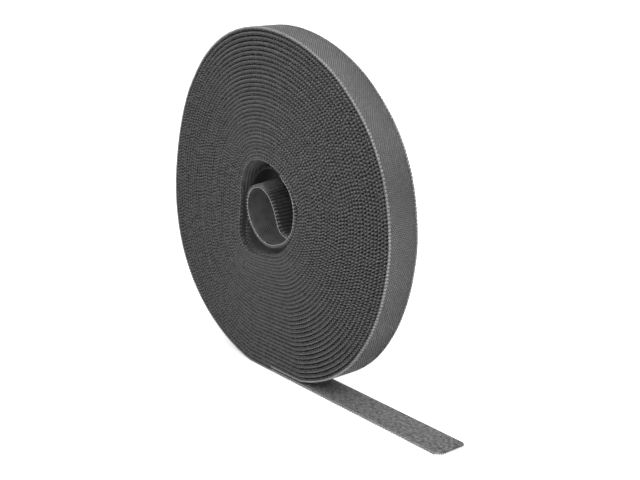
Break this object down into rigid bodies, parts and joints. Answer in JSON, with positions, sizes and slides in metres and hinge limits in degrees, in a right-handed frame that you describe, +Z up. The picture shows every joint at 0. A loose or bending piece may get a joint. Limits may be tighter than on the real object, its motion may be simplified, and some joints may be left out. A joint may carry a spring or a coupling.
{
  "type": "hook and loop cable tie roll",
  "caption": "Roll of back-to-back hook and loop cable tie tape, wound on itself with an open middle, a springy inner end and a loose tail.",
  "frame": {"origin": "on the floor, straight below the middle of the roll's axis, at the middle of the tape's width", "axes": "+Z up, +Y along the roll's axis away from the visible face, +X along the loose tail towards its tip"},
  "size_m": [0.1819, 0.015, 0.1532],
  "materials": {
    "hook_web": "woven nylon ground with short stiff hooks, soft sheen",
    "loop_web": "napped nylon loops, matt"
  },
  "bodies": {
    "roll": {"hook_coil": "hook_web", "loop_coil": "loop_web", "hook_standing_flat": "hook_web", "loop_standing_flat": "loop_web", "hook_loose_turn": "hook_web", "loop_loose_turn": "loop_web"},
    "inner_end": {"hook_inner_end": "hook_web", "loop_inner_end": "loop_web"},
    "tail_1": {"hook_tail_1": "hook_web", "loop_tail_1": "loop_web"},
    "tail_2": {"hook_tail_2": "hook_web", "loop_tail_2": "loop_web"},
    "tail_3": {"hook_tail_3": "hook_web", "loop_tail_3": "loop_web"},
    "tail_4": {"hook_tail_4": "hook_web", "loop_tail_4": "loop_web"}
  },
  "joints": [
    {"name": "inner_end_flex", "type": "hinge", "parent": "roll", "child": "inner_end", "pos_m": [-0.00078, 0, 0.07932], "axis": [0, 1, 0], "range_deg": [0, 35], "stiffness_Nm_per_rad": 0.0002, "springref_deg": -14.32},
    {"name": "tail_flex_1", "type": "hinge", "parent": "roll", "child": "tail_1", "pos_m": [0.01102, 0, 0.0017], "axis": [0, -1, 0], "range_deg": [0, 10]},
    {"name": "tail_flex_2", "type": "hinge", "parent": "tail_1", "child": "tail_2", "pos_m": [0.03475, 0, 0.0017], "axis": [0, -1, 0], "range_deg": [0, 23]},
    {"name": "tail_flex_3", "type": "hinge", "parent": "tail_2", "child": "tail_3", "pos_m": [0.05848, 0, 0.0017], "axis": [0, -1, 0], "range_deg": [0, 18]},
    {"name": "tail_flex_4", "type": "hinge", "parent": "tail_3", "child": "tail_4", "pos_m": [0.08222, 0, 0.0017], "axis": [0, -1, 0], "range_deg": [0, 16]}
  ]
}
